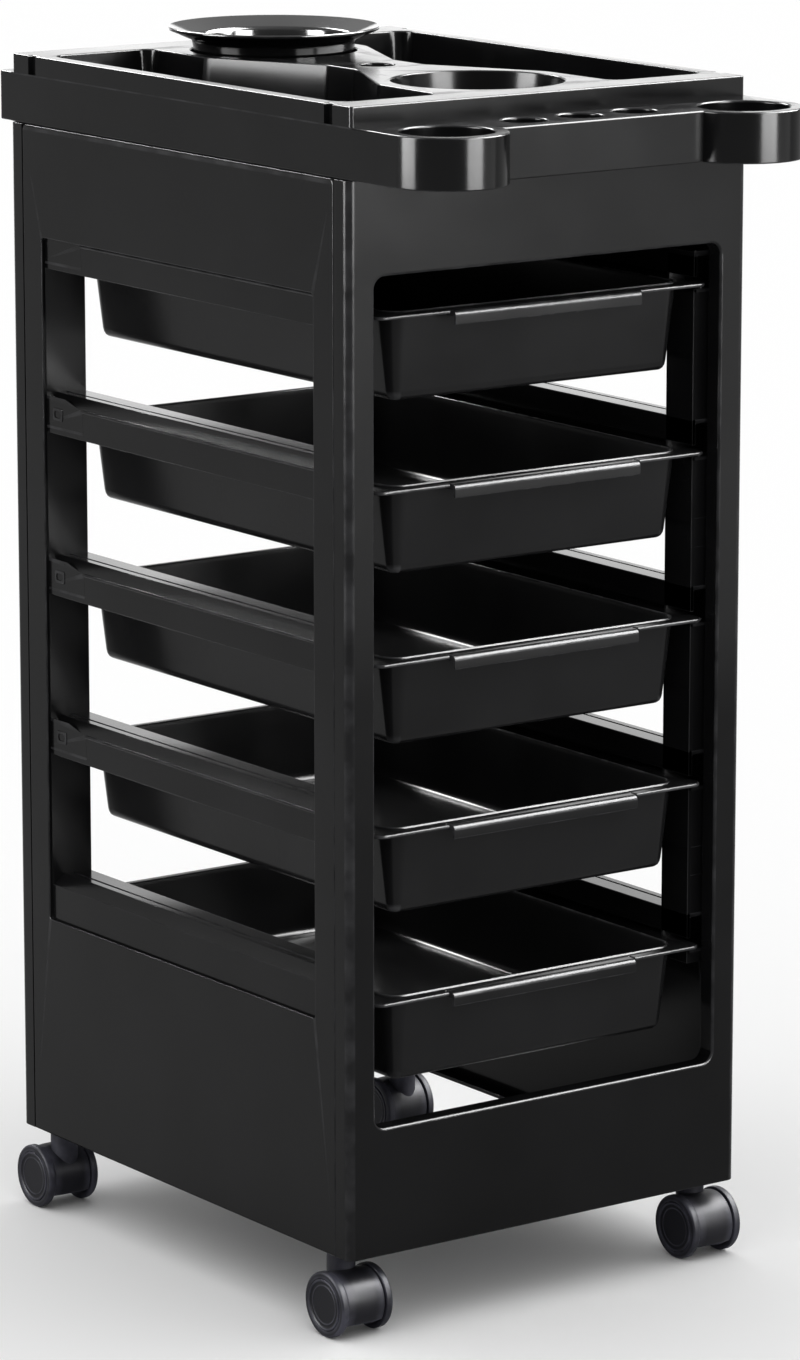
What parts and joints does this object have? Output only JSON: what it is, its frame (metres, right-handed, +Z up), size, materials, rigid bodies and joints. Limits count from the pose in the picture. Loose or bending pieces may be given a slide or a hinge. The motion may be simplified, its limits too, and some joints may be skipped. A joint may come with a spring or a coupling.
{
  "type": "rolling salon trolley",
  "caption": "Open plastic cabinet on twin-wheel casters with sliding tub drawers, windowed sides and a top tray with dryer rings, wells and a lift-out bowl.",
  "frame": {"origin": "on the floor, under the middle of the whole trolley's length and width", "axes": "+X to the right as seen from the front, -Y to the front, where the drawers open, +Z up"},
  "size_m": [0.3632, 0.549, 0.8985],
  "materials": {
    "cabinet_abs": "gloss",
    "drawer_abs": "satin",
    "bowl_plastic": "gloss",
    "caster_nylon": "satin",
    "screw_steel": "satin"
  },
  "bodies": {
    "cabinet": {"front_frame": "cabinet_abs", "back_frame": "cabinet_abs", "left_side_panel": "cabinet_abs", "right_side_panel": "cabinet_abs", "top_tray": "cabinet_abs", "frame_screws": "screw_steel", "tray_screws": "screw_steel", "front_left_caster_stem": "screw_steel", "front_right_caster_stem": "screw_steel", "back_left_caster_stem": "screw_steel", "back_right_caster_stem": "screw_steel"},
    "bowl": {"tint_bowl": "bowl_plastic"},
    "sliding_drawer_1": {"drawer_1": "drawer_abs"},
    "sliding_drawer_2": {"drawer_2": "drawer_abs"},
    "sliding_drawer_3": {"drawer_3": "drawer_abs"},
    "sliding_drawer_4": {"drawer_4": "drawer_abs"},
    "sliding_drawer_5": {"drawer_5": "drawer_abs"},
    "front_left_swivel": {"front_left_caster_hood": "caster_nylon", "front_left_axle": "screw_steel"},
    "front_left_outer_roller": {"front_left_outer_wheel": "caster_nylon", "front_left_outer_cap": "caster_nylon"},
    "front_left_inner_roller": {"front_left_inner_wheel": "caster_nylon", "front_left_inner_cap": "caster_nylon"},
    "front_right_swivel": {"front_right_caster_hood": "caster_nylon", "front_right_axle": "screw_steel"},
    "front_right_outer_roller": {"front_right_outer_wheel": "caster_nylon", "front_right_outer_cap": "caster_nylon"},
    "front_right_inner_roller": {"front_right_inner_wheel": "caster_nylon", "front_right_inner_cap": "caster_nylon"},
    "back_left_swivel": {"back_left_caster_hood": "caster_nylon", "back_left_axle": "screw_steel"},
    "back_left_outer_roller": {"back_left_outer_wheel": "caster_nylon", "back_left_outer_cap": "caster_nylon"},
    "back_left_inner_roller": {"back_left_inner_wheel": "caster_nylon", "back_left_inner_cap": "caster_nylon"},
    "back_right_swivel": {"back_right_caster_hood": "caster_nylon", "back_right_axle": "screw_steel"},
    "back_right_outer_roller": {"back_right_outer_wheel": "caster_nylon", "back_right_outer_cap": "caster_nylon"},
    "back_right_inner_roller": {"back_right_inner_wheel": "caster_nylon", "back_right_inner_cap": "caster_nylon"}
  },
  "joints": [
    {"name": "drawer_1_slide", "type": "slide", "parent": "cabinet", "child": "sliding_drawer_1", "axis": [0, -1, 0], "range_m": [0, 0.3]},
    {"name": "drawer_2_slide", "type": "slide", "parent": "cabinet", "child": "sliding_drawer_2", "axis": [0, -1, 0], "range_m": [0, 0.3]},
    {"name": "drawer_3_slide", "type": "slide", "parent": "cabinet", "child": "sliding_drawer_3", "axis": [0, -1, 0], "range_m": [0, 0.3]},
    {"name": "drawer_4_slide", "type": "slide", "parent": "cabinet", "child": "sliding_drawer_4", "axis": [0, -1, 0], "range_m": [0, 0.3]},
    {"name": "drawer_5_slide", "type": "slide", "parent": "cabinet", "child": "sliding_drawer_5", "axis": [0, -1, 0], "range_m": [0, 0.3]},
    {"name": "bowl_lift", "type": "slide", "parent": "cabinet", "child": "bowl", "axis": [0, 0, 1], "range_m": [0, 0.08]},
    {"name": "front_left_swivel_turn", "type": "hinge", "parent": "cabinet", "child": "front_left_swivel", "pos_m": [-0.159, -0.1465, 0.03], "axis": [0, 0, 1], "continuous": true},
    {"name": "front_left_outer_roll", "type": "hinge", "parent": "front_left_swivel", "child": "front_left_outer_roller", "pos_m": [-0.159, -0.1565, 0.024], "axis": [1, 0, 0], "continuous": true},
    {"name": "front_left_inner_roll", "type": "hinge", "parent": "front_left_swivel", "child": "front_left_inner_roller", "pos_m": [-0.159, -0.1565, 0.024], "axis": [1, 0, 0], "continuous": true},
    {"name": "front_right_swivel_turn", "type": "hinge", "parent": "cabinet", "child": "front_right_swivel", "pos_m": [0.159, -0.1465, 0.03], "axis": [0, 0, 1], "continuous": true},
    {"name": "front_right_outer_roll", "type": "hinge", "parent": "front_right_swivel", "child": "front_right_outer_roller", "pos_m": [0.159, -0.1565, 0.024], "axis": [1, 0, 0], "continuous": true},
    {"name": "front_right_inner_roll", "type": "hinge", "parent": "front_right_swivel", "child": "front_right_inner_roller", "pos_m": [0.159, -0.1565, 0.024], "axis": [1, 0, 0], "continuous": true},
    {"name": "back_left_swivel_turn", "type": "hinge", "parent": "cabinet", "child": "back_left_swivel", "pos_m": [-0.159, 0.2215, 0.03], "axis": [0, 0, 1], "continuous": true},
    {"name": "back_left_outer_roll", "type": "hinge", "parent": "back_left_swivel", "child": "back_left_outer_roller", "pos_m": [-0.159, 0.2315, 0.024], "axis": [1, 0, 0], "continuous": true},
    {"name": "back_left_inner_roll", "type": "hinge", "parent": "back_left_swivel", "child": "back_left_inner_roller", "pos_m": [-0.159, 0.2315, 0.024], "axis": [1, 0, 0], "continuous": true},
    {"name": "back_right_swivel_turn", "type": "hinge", "parent": "cabinet", "child": "back_right_swivel", "pos_m": [0.159, 0.2215, 0.03], "axis": [0, 0, 1], "continuous": true},
    {"name": "back_right_outer_roll", "type": "hinge", "parent": "back_right_swivel", "child": "back_right_outer_roller", "pos_m": [0.159, 0.2315, 0.024], "axis": [1, 0, 0], "continuous": true},
    {"name": "back_right_inner_roll", "type": "hinge", "parent": "back_right_swivel", "child": "back_right_inner_roller", "pos_m": [0.159, 0.2315, 0.024], "axis": [1, 0, 0], "continuous": true}
  ]
}
